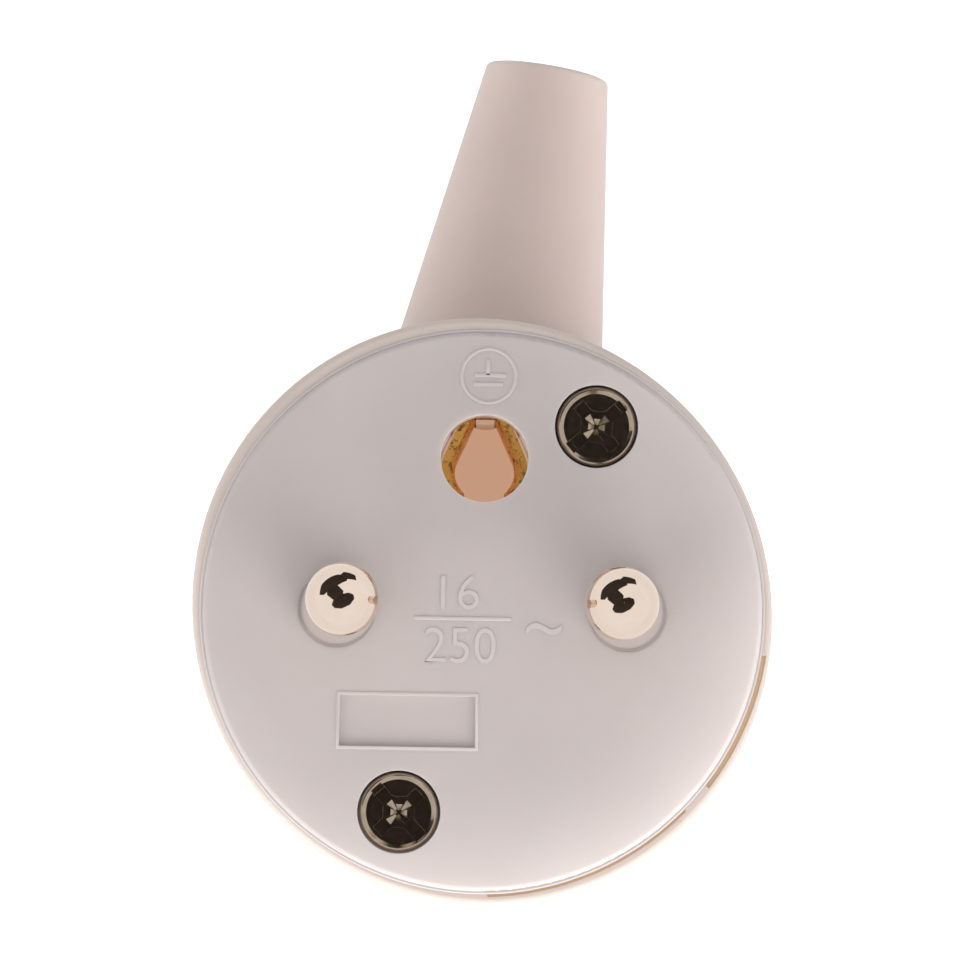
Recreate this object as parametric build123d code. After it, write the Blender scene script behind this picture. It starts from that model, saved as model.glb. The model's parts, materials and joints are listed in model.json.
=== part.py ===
from build123d import *
import math
import os

# A rewirable two-pole and earth plug with a finger ring moulded on its back.
# The ring's flat end lies on z = 0. +Z points along the pins, +Y towards the
# earth hole and the cable sleeve, +X towards the neutral pin. Millimetres.

# Finger ring, a loop in the plane of the pins' axis and the sleeve
ring_bar = 3.2
ring_width = 12.0
ring_end_width = 22.0
ring_root_width = 30.0
ring_corner = 4.0
ring_edge = 0.6
ring_root_round = 1.5
finger_width = 19.0
finger_height = 14.3
finger_corner = 5.0

# Casing, slightly oval, with the skirt that enters the socket in front
skirt_depth = 15.5
housing_depth = 17.0
housing_taper = 1.6
crown_radius = 4.0
casing_wall = 1.8
casing_ovality = 0.5
casing_turn = 122.0
lip_width = 0.42
lip_drop = 0.25
lip_round = 0.38
lip_gaps = ((-88.0, -43.5, 0.32), (-37.0, -8.0, 0.44))
lip_gap_depth = 2.0
floor_corner = 2.0

# Face plate
plate_radius = 18.35
plate_thickness = 2.4
plate_edge = 0.4
plate_clearance = 0.05
panel_width = 8.86
panel_height = 3.33
panel_depth = 0.25
panel_x = -4.77
panel_y = -7.26

# Pins and their terminals
pin_pitch = 19.0
pin_radius = 2.4
pin_length = 19.0
pin_lean = 1.7
pin_tip_flat = 0.02
pin_clearance = 0.12
pin_groove_radius = 2.2
pin_groove_length = 0.6
pin_flange_radius = 3.5
pin_flange_thickness = 1.4
pin_boss_wall = 1.1
pin_boss_depth = 2.2
terminal_radius = 3.0
terminal_length = 8.6
wire_hole_radius = 1.6

# Earth contact and its terminal
earth_offset = 10.0
earth_hole_radius = 2.87
earth_boss_radius = 4.2
earth_boss_depth = 1.0
leaf_radius = 1.97
leaf_thickness = 0.7
leaf_drop = 0.65
leaf_height = 10.0
leaf_start_angle = -48.0
leaf_flank_angle = 25.0
leaf_lip_height = 1.0
leaf_lip_flare = 0.3
leaf_mouth_flare = 0.15
neck_half_gap = 0.55
pocket_wall = 0.8
pocket_depth = 8.0
loop_radius = 1.5
loop_height = 5.0
earth_terminal_radius = 2.3
earth_terminal_length = 4.8
earth_terminal_socket = 1.2
earth_terminal_gap = 0.05
earth_wire_hole_radius = 1.1
grub_slot_width = 0.5
grub_slot_depth = 0.5
grub_stand_out = 0.6

# Cable sleeve, leaning to one side and back from the pins
sleeve_lean = 8.64
sleeve_fall = 4.0
sleeve_x = -1.84
sleeve_depth_behind_face = 22.7
sleeve_length = 18.28
sleeve_mouth_radius = 4.1
sleeve_slope = 0.146
sleeve_mouth_edge = 0.35
sleeve_bore_radius = 3.3
sleeve_bore_length = 12.0
sleeve_inner_radius = 4.3
neck_radius = 5.4
flange_radius = 6.6
flange_thickness = 1.2
seat_ring_radius = 7.4
seat_ring_length = 1.8

# Cord clamp across the cable inside the casing
clamp_station = 6.0
clamp_width = 19.0
clamp_length = 5.0
clamp_height = 4.4
clamp_half_gap = 0.6
clamp_groove_radius = 3.35
clamp_screw_spacing = 13.6
clamp_edge = 0.6

# Screws
casing_screw_radius = 1.45
casing_head_radius = 2.62
casing_head_height = 1.7
casing_screw_length = 13.0
casing_screw_inset = 4.15
casing_screw_angles = {"upper": 59.2, "lower": 248.4}
casing_screw_turns = {"upper": 40.0, "lower": -47.0}
casing_screw_sink = 0.03
pillar_radius = 3.0
screw_boss_radius = 3.6
screw_boss_depth = 2.0
slot_width = 0.75
slot_depth = 0.7
cross_width = 0.95
cross_length = 3.4
cross_depth = 1.1
head_round = 0.4
tip_chamfer = 0.3
terminal_screw_radius = 1.45
terminal_screw_length = 4.4
terminal_head_radius = 2.8
terminal_head_height = 1.5
earth_screw_radius = 1.1
earth_screw_length = 2.2
clamp_screw_radius = 1.25
clamp_head_radius = 2.3
clamp_head_height = 1.5
clamp_screw_length = 9.0
pilot_extra_depth = 0.6
screw_clearance = 0.06
seat_clearance = 0.1
head_clearance = 0.02
hole_clearance = 0.1
pillar_clearance = 0.25

# Levels and radii that follow from the sizes above
crown_z = ring_bar + finger_height
skirt_z = crown_z + housing_depth
face_z = skirt_z + skirt_depth
plate_back_z = face_z - plate_thickness
lip_z = face_z - lip_drop
floor_z = crown_z + casing_wall
casing_short_radius = plate_radius + plate_clearance + lip_width
casing_long_radius = casing_short_radius + casing_ovality
boss_back_z = plate_back_z - screw_boss_depth
casing_screw_circle = plate_radius - casing_screw_inset
earth_terminal_y = casing_short_radius - casing_wall - earth_terminal_radius - earth_terminal_gap
loop_offset = earth_terminal_y - earth_offset
leaf_top_z = plate_back_z - earth_boss_depth - seat_clearance - leaf_lip_height
axis_y_scale = math.cos(math.radians(sleeve_lean)) * math.cos(math.radians(sleeve_fall))
wall_station = casing_short_radius / axis_y_scale
mouth_station = (casing_short_radius + sleeve_length) / axis_y_scale
flange_station = wall_station - casing_wall - seat_ring_length - flange_thickness


def sleeve_axis_point(station):
    """Point on the sleeve's axis at a distance from the plug's own axis plane."""
    lean = math.radians(sleeve_lean)
    fall = math.radians(sleeve_fall)
    level = face_z - sleeve_depth_behind_face + wall_station * math.sin(fall)
    return Vector(
        sleeve_x + station * math.sin(lean) * math.cos(fall),
        station * axis_y_scale,
        level - station * math.sin(fall),
    )


def sleeve_plane(station):
    """Plane across the sleeve, its normal along the cable's way out."""
    lean = math.radians(sleeve_lean)
    origin = sleeve_axis_point(station)
    normal = sleeve_axis_point(station + 1) - origin
    across = Vector(math.cos(lean), -math.sin(lean), 0)
    return Plane(origin=origin, x_dir=across, z_dir=normal)


def oval(level, inset):
    """Outline of the casing at one level, drawn in by an inset."""
    outline = Ellipse(casing_long_radius - inset, casing_short_radius - inset)
    return Pos(0, 0, level) * Rot(0, 0, casing_turn) * outline


def casing_form(inset, bottom_z, bottom_corner, top_z, top_corner=0):
    """Solid of the casing's outer or inner shape."""
    housing = loft([oval(bottom_z, inset + housing_taper), oval(skirt_z, inset)], ruled=True)
    rim = housing.edges().group_by(Axis.Z)[0]
    housing = fillet(rim, bottom_corner)
    skirt = extrude(oval(skirt_z, inset), top_z - skirt_z)
    if top_corner:
        skirt = fillet(skirt.edges().group_by(Axis.Z)[-1], top_corner)
    return housing + skirt


def screw_place(name):
    """Place of a casing screw on its circle."""
    angle = math.radians(casing_screw_angles[name])
    return casing_screw_circle * math.cos(angle), casing_screw_circle * math.sin(angle)


def column(radius, place, bottom_z, top_z):
    """Upright cylinder between two levels."""
    height = top_z - bottom_z
    shaft = Cylinder(radius, height, align=(Align.CENTER, Align.CENTER, Align.MIN))
    return Pos(place[0], place[1], bottom_z) * shaft


def barrel_along(plane, radius, start, end):
    """Cylinder about a plane's normal, between two stations along it."""
    shaft = Cylinder(radius, end - start, align=(Align.CENTER, Align.CENTER, Align.MIN))
    return plane * Pos(0, 0, start) * shaft


def screw(radius, length, head_radius, head_height):
    """Pan-head screw with its head's top on z = 0, pointing down."""
    head = column(head_radius, (0, 0), -head_height, 0)
    head = fillet(head.edges().group_by(Axis.Z)[-1], head_round)
    shank = column(radius, (0, 0), -length, -head_height)
    tip = shank.edges().group_by(Axis.Z)[0]
    shank = chamfer(tip, tip_chamfer)
    slot = Pos(0, 0, -slot_depth / 2) * Box(2 * head_radius + 1, slot_width, slot_depth)
    return head + shank - slot


def finger_ring():
    """Loop behind the casing, with a flat end that the plug stands on."""
    half_end = ring_end_width / 2
    half_root = ring_root_width / 2
    root_z = crown_z + casing_wall / 2
    outline = Polygon(
        (-half_end, 0), (half_end, 0), (half_root, root_z), (-half_root, root_z), align=None
    )
    outline = fillet(outline.vertices().group_by(Axis.Y)[0], ring_corner)
    loop = extrude(Plane.YZ * outline, ring_width / 2, both=True)
    hole = RectangleRounded(finger_width, finger_height, finger_corner)
    window = extrude(Plane.YZ * Pos(0, ring_bar + finger_height / 2) * hole, ring_width, both=True)
    loop = loop - window
    sides = loop.faces().filter_by(Axis.X)
    rims = ShapeList([edge for side in sides for edge in side.edges()])
    below_root = ShapeList([edge for edge in rims if edge.bounding_box().max.Z < crown_z + 0.01])
    return chamfer(below_root, ring_edge)


def round_ring_root(casing):
    """Fillets the straight corners between the ring's sides and the casing's back."""
    corners = casing.edges().filter_by(Axis.Y).group_by(Axis.Z)
    for level in corners:
        if abs(level[0].center().Z - crown_z) < head_clearance:
            casing = fillet(level, ring_root_round)
    return casing


def cradle():
    """Saddle under the cable, standing on the casing's floor."""
    centre = sleeve_axis_point(clamp_station)
    height = centre.Z - clamp_half_gap - crown_z
    block = Box(clamp_width, clamp_length, height)
    block = clamp_plane() * Pos(0, 0, -clamp_half_gap - height / 2) * block
    for side in (-1, 1):
        depth = clamp_screw_length - clamp_height + pilot_extra_depth
        pilot = column(clamp_screw_radius + screw_clearance, (0, 0), -clamp_half_gap - depth, 0)
        block = block - clamp_plane() * Pos(side * clamp_screw_spacing / 2, 0, 0) * pilot
    groove = barrel_along(sleeve_plane(0), clamp_groove_radius, 0, 2 * clamp_station)
    return block - groove


def lip_relief(start, end, width):
    """Gap between the plate and the lip, from one angle to another."""
    profile = Rectangle(width, lip_gap_depth, align=(Align.MIN, Align.MAX))
    profile = Plane.XZ * Pos(plate_radius, face_z) * profile
    return Rot(0, 0, start) * revolve(profile, Axis.Z, end - start)


def make_back_casing():
    """Skirt, housing and finger ring in one moulding, open at the front."""
    seat_station = flange_station + flange_thickness + seat_clearance
    core = casing_form(casing_wall, floor_z, floor_corner, face_z)
    core = core - cradle()
    core = core - barrel_along(sleeve_plane(0), seat_ring_radius, seat_station, 2 * seat_station)
    hole_bottom = face_z - casing_screw_length - pilot_extra_depth
    for name in casing_screw_angles:
        place = screw_place(name)
        core = core - column(pillar_radius, place, crown_z, boss_back_z)
        core = core + column(casing_screw_radius + screw_clearance, place, hole_bottom, plate_back_z)
    core = core + column(plate_radius + plate_clearance, (0, 0), plate_back_z, face_z)
    for start, end, width in lip_gaps:
        core = core + lip_relief(start, end, width)
    casing = round_ring_root(casing_form(0, crown_z, crown_radius, lip_z, lip_round) + finger_ring())
    casing = casing - core
    casing = casing - barrel_along(
        sleeve_plane(0), neck_radius + hole_clearance, seat_station - 1, 2 * seat_station
    )
    flange_room = barrel_along(
        sleeve_plane(0), flange_radius + hole_clearance, flange_station - 1, seat_station
    )
    return casing - flange_room


def make_cable_sleeve():
    """Tapered flexible sleeve with a neck through the wall and a flange inside."""
    root_radius = sleeve_mouth_radius + (mouth_station - flange_station) * sleeve_slope
    outline = Polygon(
        (0, flange_station),
        (root_radius, flange_station),
        (sleeve_mouth_radius, mouth_station),
        (0, mouth_station),
        align=None,
    )
    tube = revolve(Plane.XZ * outline, Axis.Z)
    tube = fillet(tube.edges().group_by(Axis.Z)[-1], sleeve_mouth_edge)
    tube = sleeve_plane(0) * tube
    tube = tube - casing_form(-hole_clearance, crown_z, crown_radius, face_z)
    tube = tube + barrel_along(sleeve_plane(0), neck_radius, flange_station, wall_station + casing_wall)
    tube = tube + barrel_along(
        sleeve_plane(0), flange_radius, flange_station, flange_station + flange_thickness
    )
    funnel_station = mouth_station - sleeve_bore_length
    passage = Polygon(
        (0, flange_station - 1),
        (sleeve_inner_radius, flange_station - 1),
        (sleeve_bore_radius, funnel_station),
        (sleeve_bore_radius, mouth_station + 1),
        (0, mouth_station + 1),
        align=None,
    )
    tube = tube - sleeve_plane(0) * revolve(Plane.XZ * passage, Axis.Z)
    return tube - column(pillar_radius + pillar_clearance, screw_place("upper"), crown_z, face_z)


def pin_plane(side):
    """Plane of a pin at the plate's front, leaning towards the other pin."""
    lean = math.radians(pin_lean)
    return Plane(
        origin=(side * pin_pitch / 2, 0, face_z),
        x_dir=(math.cos(lean), 0, side * math.sin(lean)),
        z_dir=(-side * math.sin(lean), 0, math.cos(lean)),
    )


def make_face_plate():
    """Round plate with the bosses that hold pins, earth contact and screws."""
    plate = column(plate_radius, (0, 0), plate_back_z, face_z)
    plate = fillet(plate.edges().group_by(Axis.Z)[-1], plate_edge)
    plate = plate + column(
        earth_boss_radius, (0, earth_offset), plate_back_z - earth_boss_depth, plate_back_z
    )
    spigot_radius = casing_short_radius - casing_wall - seat_clearance
    boss_limit = column(spigot_radius, (0, 0), boss_back_z, plate_back_z)
    for name in casing_screw_angles:
        boss = column(screw_boss_radius, screw_place(name), boss_back_z, plate_back_z)
        plate = plate + (boss & boss_limit)
    for side in (-1, 1):
        plane = pin_plane(side)
        ring = barrel_along(
            plane,
            pin_flange_radius + hole_clearance + pin_boss_wall,
            -plate_thickness - pin_boss_depth,
            -plate_thickness / 2,
        )
        plate = plate + ring
    for side in (-1, 1):
        plane = pin_plane(side)
        plate = plate - barrel_along(plane, pin_radius + pin_clearance, -plate_thickness - 1, 1)
        plate = plate - barrel_along(
            plane,
            pin_flange_radius + hole_clearance,
            -plate_thickness - pin_boss_depth - 1,
            -plate_thickness,
        )
    plate = plate + contact_pocket()
    hole = column(
        earth_hole_radius, (0, earth_offset), plate_back_z - earth_boss_depth, face_z
    )
    plate = plate - hole
    socket = column(
        loop_radius, (0, earth_offset + loop_offset), plate_back_z - 2, plate_back_z + earth_terminal_socket
    )
    plate = plate - socket
    room = casing_head_radius + hole_clearance
    room_bottom = face_z - casing_screw_sink - casing_head_height - head_clearance
    for name in casing_screw_angles:
        place = screw_place(name)
        plate = plate - column(room, place, room_bottom, face_z)
        plate = plate - column(casing_screw_radius + hole_clearance, place, boss_back_z, face_z)
    panel = Pos(panel_x, panel_y, face_z) * Box(panel_width, panel_height, 2 * panel_depth)
    return plate - panel


def make_pin(side):
    """Turned pin with a domed tip, a flange and a drilled terminal head."""
    back = -plate_thickness - seat_clearance
    flange_back = back - pin_flange_thickness
    head_back = flange_back - terminal_length
    pin = column(pin_radius, (0, 0), back, pin_length)
    pin = fillet(pin.edges().group_by(Axis.Z)[-1], pin_radius - pin_tip_flat)
    groove = column(2 * pin_radius, (0, 0), -pin_groove_length, 0)
    pin = pin - (groove - column(pin_groove_radius, (0, 0), -pin_groove_length, 0))
    pin = pin + column(pin_flange_radius, (0, 0), flange_back, back)
    head = column(terminal_radius, (0, 0), head_back, flange_back)
    head = chamfer(head.edges().group_by(Axis.Z)[0], 0.3)
    pin = pin + head
    wire_level = flange_back - terminal_length / 2
    wire_hole = Pos(0, 0, wire_level) * Rot(90, 0, 0) * Cylinder(wire_hole_radius, 3 * terminal_radius)
    thread_top = wire_level + wire_hole_radius
    pin = pin - wire_hole - column(
        terminal_screw_radius + screw_clearance, (0, 0), head_back, thread_top
    )
    return pin_plane(side) * pin


def make_terminal_screw(side):
    """Screw that clamps the wire from the back of a pin."""
    head_back = -plate_thickness - seat_clearance - pin_flange_thickness - terminal_length
    fastener = screw(
        terminal_screw_radius,
        terminal_screw_length + terminal_head_height,
        terminal_head_radius,
        terminal_head_height,
    )
    fastener = Rot(180, 0, 0) * fastener
    lift = head_back - terminal_head_height - seat_clearance
    return pin_plane(side) * Pos(0, 0, lift) * fastener


def flank_run(grow):
    """Length of a leaf's straight flank, from the round part to the neck."""
    flank = math.radians(leaf_flank_angle)
    return ((leaf_radius + grow) * math.cos(flank) - neck_half_gap - grow) / math.sin(flank)


def socket_region(grow):
    """Pear-shaped space between the leaves, seen along the pins."""
    flank = math.radians(leaf_flank_angle)
    radius = leaf_radius + grow
    half_neck = neck_half_gap + grow
    tangent_x = radius * math.cos(flank)
    tangent_y = -leaf_drop + radius * math.sin(flank)
    neck_y = tangent_y + flank_run(grow) * math.cos(flank)
    wedge = Polygon(
        (-tangent_x, tangent_y),
        (tangent_x, tangent_y),
        (half_neck, neck_y),
        (-half_neck, neck_y),
        align=None,
    )
    return Pos(0, -leaf_drop) * Circle(radius) + wedge


def contact_region(grow):
    """The socket space with the neck and the terminal eye behind it."""
    neck = Pos(0, loop_offset / 2) * Rectangle(2 * (neck_half_gap + grow), loop_offset)
    eye = Pos(0, loop_offset) * Circle(loop_radius + grow)
    return socket_region(grow) + neck + eye


def contact_pocket():
    """Moulded wall round the contact, open towards the terminal."""
    room = leaf_thickness + leaf_lip_flare + hole_clearance
    wall = socket_region(room + pocket_wall) - contact_region(room)
    return extrude(Pos(0, earth_offset, plate_back_z - pocket_depth) * wall, pocket_depth)


def make_earth_contact():
    """Bent strip: two spring leaves that pinch to a neck, and an eye behind it."""
    start = math.radians(leaf_start_angle)
    mouth = Pos(0, -leaf_drop - leaf_radius - leaf_thickness) * Rectangle(
        2 * (leaf_radius + leaf_mouth_flare) * math.cos(start),
        2 * leaf_radius * (1 + math.sin(start)) + 2 * leaf_thickness,
    )
    strip = contact_region(leaf_thickness) - contact_region(0) - mouth
    body = extrude(Pos(0, earth_offset, leaf_top_z - leaf_height) * strip, leaf_height)
    below_eye = Pos(0, earth_offset + loop_offset, leaf_top_z - loop_height) * Box(
        4 * loop_radius,
        4 * loop_radius,
        2 * leaf_height,
        align=(Align.CENTER, Align.CENTER, Align.MAX),
    )
    body = body - below_eye
    lip = Polygon(
        (leaf_radius, 0),
        (leaf_radius + leaf_thickness, 0),
        (leaf_radius + leaf_thickness + leaf_lip_flare / 2, leaf_lip_height),
        (leaf_radius + leaf_lip_flare, leaf_lip_height),
        align=None,
    )
    sweep = leaf_flank_angle - leaf_start_angle
    round_lip = revolve(Plane.XZ * lip, Axis.Z, sweep)
    centre = Pos(0, earth_offset - leaf_drop, leaf_top_z)
    body = body + centre * Rot(0, 0, leaf_start_angle) * round_lip
    body = body + centre * Rot(0, 0, 180 - leaf_flank_angle) * round_lip
    run = flank_run(leaf_thickness)
    body = body + centre * Rot(0, 0, leaf_flank_angle) * extrude(Plane.XZ * lip, -run)
    body = body + centre * Rot(0, 0, 180 - leaf_flank_angle) * extrude(Plane.XZ * lip, run)
    return body


def make_earth_terminal():
    """Turned post through the contact's eye, drilled for the earth wire."""
    place = (0, earth_offset + loop_offset)
    eye_bottom = leaf_top_z - loop_height - seat_clearance
    post_top = plate_back_z + earth_terminal_socket - head_clearance
    post = column(loop_radius - screw_clearance, place, eye_bottom, post_top)
    head_bottom = eye_bottom - earth_terminal_length
    head = column(earth_terminal_radius, place, head_bottom, eye_bottom)
    wire_level = eye_bottom - earth_terminal_length / 2
    wire_hole = Pos(place[0], place[1], wire_level) * Rot(0, 90, 0) * Cylinder(
        earth_wire_hole_radius, 3 * earth_terminal_radius
    )
    thread = column(earth_screw_radius + screw_clearance, place, head_bottom, wire_level)
    return head + post - wire_hole - thread


def make_earth_terminal_screw():
    """Grub screw under the earth wire."""
    place = (0, earth_offset + loop_offset)
    head_bottom = leaf_top_z - loop_height - seat_clearance - earth_terminal_length
    grub_bottom = head_bottom - grub_stand_out
    grub = column(earth_screw_radius, place, grub_bottom, grub_bottom + earth_screw_length)
    slot = Box(4 * earth_screw_radius, grub_slot_width, 2 * grub_slot_depth)
    return grub - Pos(place[0], place[1], grub_bottom) * slot


def clamp_plane():
    """Level plane at the clamp, turned with the cable."""
    centre = sleeve_axis_point(clamp_station)
    return Plane(origin=centre, x_dir=sleeve_plane(clamp_station).x_dir, z_dir=(0, 0, 1))


def make_cord_clamp():
    """Bar that presses the cable into the cradle."""
    bar = Box(clamp_width, clamp_length, clamp_height)
    bar = fillet(bar.edges().filter_by(Axis.Z), clamp_edge)
    bar = clamp_plane() * Pos(0, 0, clamp_half_gap + clamp_height / 2) * bar
    groove = barrel_along(sleeve_plane(0), clamp_groove_radius, 0, 2 * clamp_station)
    bar = bar - groove
    for side in (-1, 1):
        hole = column(clamp_screw_radius + hole_clearance, (0, 0), 0, 2 * clamp_height)
        bar = bar - clamp_plane() * Pos(side * clamp_screw_spacing / 2, 0, 0) * hole
    return bar


def make_clamp_screw(side):
    """Screw of the cord clamp."""
    fastener = screw(clamp_screw_radius, clamp_screw_length, clamp_head_radius, clamp_head_height)
    lift = clamp_half_gap + clamp_height + clamp_head_height + head_clearance
    return clamp_plane() * Pos(side * clamp_screw_spacing / 2, 0, lift) * fastener


def make_casing_screw(name):
    """Casing screw with a slot and a cross recess."""
    x, y = screw_place(name)
    fastener = screw(
        casing_screw_radius, casing_screw_length, casing_head_radius, casing_head_height
    )
    for angle in (0, 90):
        arm = Rot(0, 0, angle) * Box(cross_length, cross_width, 2 * cross_depth)
        fastener = fastener - arm
    return Pos(x, y, face_z - casing_screw_sink) * Rot(0, 0, casing_screw_turns[name]) * fastener


nodes = {
    "face_plate": make_face_plate(),
    "back_casing": make_back_casing(),
    "cable_sleeve": make_cable_sleeve(),
    "line_pin": make_pin(-1),
    "neutral_pin": make_pin(1),
    "line_terminal_screw": make_terminal_screw(-1),
    "neutral_terminal_screw": make_terminal_screw(1),
    "earth_contact": make_earth_contact(),
    "earth_terminal": make_earth_terminal(),
    "earth_terminal_screw": make_earth_terminal_screw(),
    "cord_clamp": make_cord_clamp(),
    "cord_clamp_screw_left": make_clamp_screw(-1),
    "cord_clamp_screw_right": make_clamp_screw(1),
    "casing_screw_upper": make_casing_screw("upper"),
    "casing_screw_lower": make_casing_screw("lower"),
}

os.makedirs("parts", exist_ok=True)
for name, solid in nodes.items():
    export_step(solid, f"parts/{name}.step")
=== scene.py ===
import json
import math

import bpy
from mathutils import Matrix, Vector


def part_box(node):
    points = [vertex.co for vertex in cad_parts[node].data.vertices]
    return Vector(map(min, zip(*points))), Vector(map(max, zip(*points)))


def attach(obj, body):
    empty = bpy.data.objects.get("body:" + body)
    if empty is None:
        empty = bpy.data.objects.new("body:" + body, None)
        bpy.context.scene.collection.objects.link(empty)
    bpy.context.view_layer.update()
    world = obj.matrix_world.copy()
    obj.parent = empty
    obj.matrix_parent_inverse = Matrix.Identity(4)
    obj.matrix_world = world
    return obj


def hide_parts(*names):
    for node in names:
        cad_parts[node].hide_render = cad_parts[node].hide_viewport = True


bl_info = {
    "name": "Ring plug dressing",
    "version": (1, 0, 0),
    "blender": (4, 5, 0),
    "location": "3D View > Sidebar > Plug",
    "description": "Finishes the plug's plastic, metal and mouldings and sets its studio",
    "category": "Object",
}

MM = 0.001
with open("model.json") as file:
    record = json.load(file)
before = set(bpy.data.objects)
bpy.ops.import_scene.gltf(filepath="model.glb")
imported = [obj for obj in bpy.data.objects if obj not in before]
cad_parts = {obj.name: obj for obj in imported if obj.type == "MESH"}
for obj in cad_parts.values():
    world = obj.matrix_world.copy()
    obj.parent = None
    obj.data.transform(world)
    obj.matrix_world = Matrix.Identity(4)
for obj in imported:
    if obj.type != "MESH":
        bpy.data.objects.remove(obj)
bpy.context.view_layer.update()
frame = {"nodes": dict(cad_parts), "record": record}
mounts = {mount["name"]: mount for mount in frame["record"]["mounts"]}

# Sizes and places are in millimetres and angles in degrees, unless a comment says otherwise

# Face plate, from the frame
plate_low, plate_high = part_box("face_plate")
FACE_Z = plate_high.z
FACE = FACE_Z / MM
PLATE_RADIUS = (plate_high.x - plate_low.x) / 2 / MM
PLATE_UNDERSIDE = plate_low.z / MM

# Casing screws: how far each slot is turned, and their common form, partly from the frame.
# FACING is the least cosine of a face that points a given way
SCREW_TURNS = {"casing_screw_upper": 40.0, "casing_screw_lower": -47.0}
screw_low, screw_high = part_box("casing_screw_upper")
SCREW_TOP = screw_high.z / MM
SCREW_LENGTH = SCREW_TOP - screw_low.z / MM
HEAD_RADIUS = (screw_high.x - screw_low.x) / 2 / MM
HEAD_HEIGHT = 1.7
HEAD_CHAMFER = 0.06
SHANK_RADIUS = 1.45
POINT_RADIUS = 1.15
POINT_LENGTH = 0.3
RIM_ROUND = 0.4
RIM_SWEEP = 68
RIM_STEPS = 10
RIM_INNER = 2.14
DISH_DEPTH = 0.18
DISH_MIDDLE = 0.1
SLOT_DEPTH = 0.5
SLOT_WIDTH = 0.85
SLOT_REACH = 2.25
RECESS_RADIUS = 1.12
RECESS_REACH = 1.88
RECESS_DEPTH = 0.85
PIT_RADIUS = 0.62
PIT_REACH = 0.98
PIT_DEPTH = 1.08
PIT_TAPER = 0.25
PIT_OVERLAP = 0.02
CUTTER_RISE = 1.0
FACING = 0.99
ON_AXIS = 0.1
WELD = 0.0001
# Pale band on the bevelled edges of the slot and recess: a painted highlight, in its own material
# slot
HIGHLIGHT_EDGE_WIDTH = 0.07
HIGHLIGHT_EDGE_ANGLE = 50
HIGHLIGHT_EDGE_SLOT = 1
SCREW_SMOOTHING = 16

# Pins: shafts on the frame's pin mounts, a hair shorter than the solids that they cover
PIN_LENGTH = 18.999
PIN_RADIUS = 2.4
PIN_SINK = 0.6
PIN_TIP_FLAT = 0.03
PIN_STEPS = 144
PIN_SMOOTHING = 40
DOME_STEPS = 24
COLLAR_WIDTH = 0.16
COLLAR_TOP = -0.06
COLLAR_FOOT = -0.4

# Seam between the plate and the casing's lip, a bead of lighter plastic as a painted highlight,
# and the ring at the foot of the lip's gaps, which glows with painted light
SEAM_BEAD = 0.12
SEAM_OUTWARDS = 0.02
SEAM_LEVEL = -0.3
GAP_BEAD = 0.24
GAP_LEVEL = -0.95
PLATE_EDGE_STEPS = 180
BEAD_STEPS = 12

# Pocket under the earth contact: its floor, rib and lining, which glow with painted light for the
# light through the thin walls
POCKET_MIDDLE = (0.0, 9.35)
POCKET_RADIUS = 3.9
POCKET_FLOOR = 0.6
RIB_SIZE = (1.2, 0.3, 6.4)
RIB_MIDDLE = (0.0, 12.45, FACE - 4.9)
EARTH_HOLE = [place / MM for place in mounts["earth_socket"]["pos_m"][:2]]
EARTH_HOLE_RADIUS = mounts["earth_socket"]["dims"]["r_mm"]
LINING_RADIUS = 3.2
LINING_BEAD = 0.34
LINING_STEPS = 64
LINING_DROP = 1.2
LINING_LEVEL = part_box("earth_contact")[1].z / MM - LINING_DROP

# Marks on the plate, each with its place from the plate's middle, its width and its height
MARK_SINK = 0.006
EARTH_RING = (0.18, 15.40)
EARTH_RING_RADIUS = 1.76
EARTH_RING_STEPS = 72
EARTH_BARS = {
    "earth_stem": (0.13, 15.96, 0.26, 1.06),
    "earth_bar_long": (0.29, 15.43, 2.05, 0.26),
    "earth_bar_short": (0.15, 14.84, 1.96, 0.26),
}
RATING_LINE = (-1.26, -0.50, 6.34, 0.24)
RATING_WORDS = {
    "rating_current": ("16", -1.47, 1.21, 2.50, 2.20),
    "rating_voltage": ("250", -1.39, -2.25, 4.64, 2.30),
    "rating_alternating": ("~", 4.07, -1.09, 2.30, 0.80),
}
PANEL = (-4.77, -7.26, 8.86, 3.33)
PANEL_FRAME = 0.22
BAR_SOFTENING = 0.04
PANEL_SOFTENING = 0.03

# Letters, in parts of their size before they are fitted to the plate
LETTER_DEPTH = 0.04
LETTER_BEVEL = 0.008
LETTER_THINNING = -0.014
LETTER_CURVES = 6

# Moulded plastic: its noises in cycles a metre, the stretch of each that counts, how far
# they sway the tint and the roughness, and how far each colour of light goes inside
CLOUD_NOISE = 120
CLOUD_SPAN = (0.35, 0.65)
CLOUD_TINTS = (0.975, 1.015)
GLOSS_NOISE = 900
GLOSS_SPAN = (0.3, 0.7)
GLOSS_SWAY = 0.05
GRAIN_NOISE = 5200
GRAIN_DEPTH = 0.004
LIGHT_REACH = (1.0, 0.82, 0.7)
PLASTIC_IOR = 1.49

# Metal: its gloss and dents have noises finer than its wear by these factors
METAL_GLOSS_NOISE = 1.7
METAL_GLOSS_SWAY = (0.7, 1.5)
METAL_DENT_NOISE = 2.3
METAL_DENT_DEPTH = 0.002
WEAR_ROUGHNESS = 0.65

# Painted glow on the plate, an emission for the light let through at its edge and round the earth
# hole, strongest towards its lower right:
# the upright line that it is measured from, the distances where it starts and where it is full,
# and its strength
PLATE_PAINTED_GLOW = ((-2.5, 3.5), 12.5, 22.4, 0.27)
HOLE_PAINTED_GLOW = (EARTH_HOLE, EARTH_HOLE_RADIUS + 0.06, EARTH_HOLE_RADIUS - 0.01, 0.2)
PAINTED_GLOW_CURVE = 2.8
PAINTED_GLOW_COLOUR = (1.0, 0.9, 0.84)

# Floor, its edge in metres and its level just under the plug, and how white it and the room are
FLOOR_METRES = 4
FLOOR_LEVEL = -0.02
FLOOR_WHITE = 0.8
FLOOR_LIFT = 0.62
MIRRORED_WHITE = 0.97
ROOM_LIGHT = 0.6

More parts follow.
